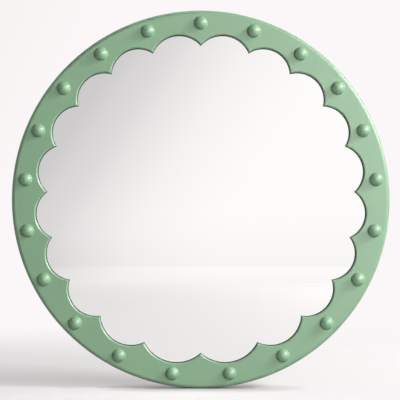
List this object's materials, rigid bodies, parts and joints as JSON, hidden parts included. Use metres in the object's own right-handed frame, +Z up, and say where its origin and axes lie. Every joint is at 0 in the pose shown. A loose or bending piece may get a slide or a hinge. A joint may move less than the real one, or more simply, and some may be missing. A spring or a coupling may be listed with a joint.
{
  "type": "scalloped mirror",
  "caption": "Round wall mirror in a flat painted frame with a scalloped opening and a ring of half-ball studs, with hanging rings and turn buttons on its back.",
  "frame": {"origin": "on the wall plane that the four bumpers touch, behind the centre of the mirror", "axes": "+Z up, -Y out of the mirror's front, +Y into the wall, +X to the right seen from the front"},
  "size_m": [0.8, 0.0385, 0.7999],
  "materials": {
    "frame_paint": "satin paint on fibreboard",
    "mirror_glass": "polished, silvered",
    "backing_board": "hardboard",
    "packer_rubber": "matte",
    "button_steel": "zinc plated",
    "screw_steel": "zinc plated",
    "strap_steel": "nickel plated",
    "ring_steel": "nickel plated",
    "bumper_rubber": "matte"
  },
  "bodies": {
    "frame": {"scalloped_frame": "frame_paint", "stud_01": "frame_paint", "stud_02": "frame_paint", "stud_03": "frame_paint", "stud_04": "frame_paint", "stud_05": "frame_paint", "stud_06": "frame_paint", "stud_07": "frame_paint", "stud_08": "frame_paint", "stud_09": "frame_paint", "stud_10": "frame_paint", "stud_11": "frame_paint", "stud_12": "frame_paint", "stud_13": "frame_paint", "stud_14": "frame_paint", "stud_15": "frame_paint", "stud_16": "frame_paint", "stud_17": "frame_paint", "stud_18": "frame_paint", "stud_19": "frame_paint", "stud_20": "frame_paint", "stud_21": "frame_paint", "mirror_glass": "mirror_glass", "backing_board": "backing_board", "glass_packer_1": "packer_rubber", "glass_packer_2": "packer_rubber", "glass_packer_3": "packer_rubber", "glass_packer_4": "packer_rubber", "turn_button_screws": "screw_steel", "hanger_strap_left": "strap_steel", "hanger_strap_right": "strap_steel", "hanger_screws": "screw_steel", "wall_bumper_1": "bumper_rubber", "wall_bumper_2": "bumper_rubber", "wall_bumper_3": "bumper_rubber", "wall_bumper_4": "bumper_rubber"},
    "turn_button_1": {"turn_button_1": "button_steel"},
    "turn_button_2": {"turn_button_2": "button_steel"},
    "turn_button_3": {"turn_button_3": "button_steel"},
    "turn_button_4": {"turn_button_4": "button_steel"},
    "turn_button_5": {"turn_button_5": "button_steel"},
    "turn_button_6": {"turn_button_6": "button_steel"},
    "turn_button_7": {"turn_button_7": "button_steel"},
    "turn_button_8": {"turn_button_8": "button_steel"},
    "hanger_ring_left": {"hanger_ring_left": "ring_steel"},
    "hanger_ring_right": {"hanger_ring_right": "ring_steel"}
  },
  "joints": [
    {"name": "turn_button_1_turn", "type": "hinge", "parent": "frame", "child": "turn_button_1", "pos_m": [0, -0.008, 0.369], "axis": [0, 1, 0], "continuous": true},
    {"name": "turn_button_2_turn", "type": "hinge", "parent": "frame", "child": "turn_button_2", "pos_m": [0.26092, -0.008, 0.26092], "axis": [0, 1, 0], "continuous": true},
    {"name": "turn_button_3_turn", "type": "hinge", "parent": "frame", "child": "turn_button_3", "pos_m": [0.369, -0.008, 0], "axis": [0, 1, 0], "continuous": true},
    {"name": "turn_button_4_turn", "type": "hinge", "parent": "frame", "child": "turn_button_4", "pos_m": [0.26092, -0.008, -0.26092], "axis": [0, 1, 0], "continuous": true},
    {"name": "turn_button_5_turn", "type": "hinge", "parent": "frame", "child": "turn_button_5", "pos_m": [0, -0.008, -0.369], "axis": [0, 1, 0], "continuous": true},
    {"name": "turn_button_6_turn", "type": "hinge", "parent": "frame", "child": "turn_button_6", "pos_m": [-0.26092, -0.008, -0.26092], "axis": [0, 1, 0], "continuous": true},
    {"name": "turn_button_7_turn", "type": "hinge", "parent": "frame", "child": "turn_button_7", "pos_m": [-0.369, -0.008, 0], "axis": [0, 1, 0], "continuous": true},
    {"name": "turn_button_8_turn", "type": "hinge", "parent": "frame", "child": "turn_button_8", "pos_m": [-0.26092, -0.008, 0.26092], "axis": [0, 1, 0], "continuous": true},
    {"name": "hanger_ring_left_swing", "type": "hinge", "parent": "frame", "child": "hanger_ring_left", "pos_m": [-0.35051, -0.005, 0.14857], "axis": [1, 0, 0], "range_deg": [0, 180]},
    {"name": "hanger_ring_right_swing", "type": "hinge", "parent": "frame", "child": "hanger_ring_right", "pos_m": [0.35051, -0.005, 0.14857], "axis": [1, 0, 0], "range_deg": [0, 180]}
  ]
}
